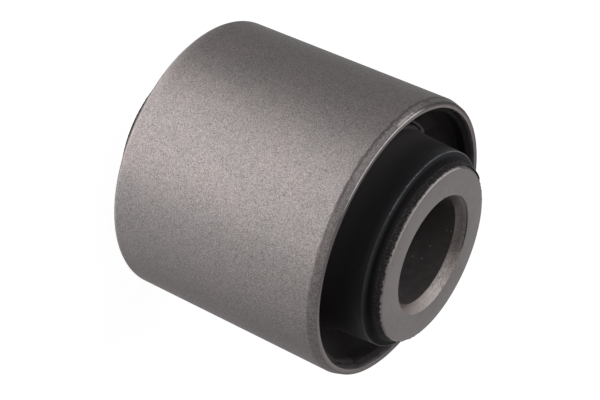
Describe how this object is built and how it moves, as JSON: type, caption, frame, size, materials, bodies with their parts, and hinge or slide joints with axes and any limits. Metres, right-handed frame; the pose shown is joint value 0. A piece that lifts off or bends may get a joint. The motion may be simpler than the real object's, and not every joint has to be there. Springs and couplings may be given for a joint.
{
  "type": "rubber metal bush",
  "caption": "Cylindrical suspension bush: thin outer steel sleeve, thick inner steel sleeve with countersunk bore, and moulded rubber with a ring-shaped recess at both ends.",
  "frame": {"origin": "centre of the inner sleeve's lower end face, on the axis", "axes": "+Z along the bush's axis, from the end it stands on to the other; X and Y are any two square directions"},
  "size_m": [0.042, 0.042, 0.046],
  "materials": {
    "phosphated_steel": "fine matt grain, phosphated, warm grey",
    "moulded_rubber": "black, moulded, slightly satin",
    "turned_steel": "faced and turned, satin, light oil film"
  },
  "bodies": {
    "root": {"outer_sleeve": "phosphated_steel", "rubber_element": "moulded_rubber", "inner_sleeve": "turned_steel"}
  },
  "joints": []
}
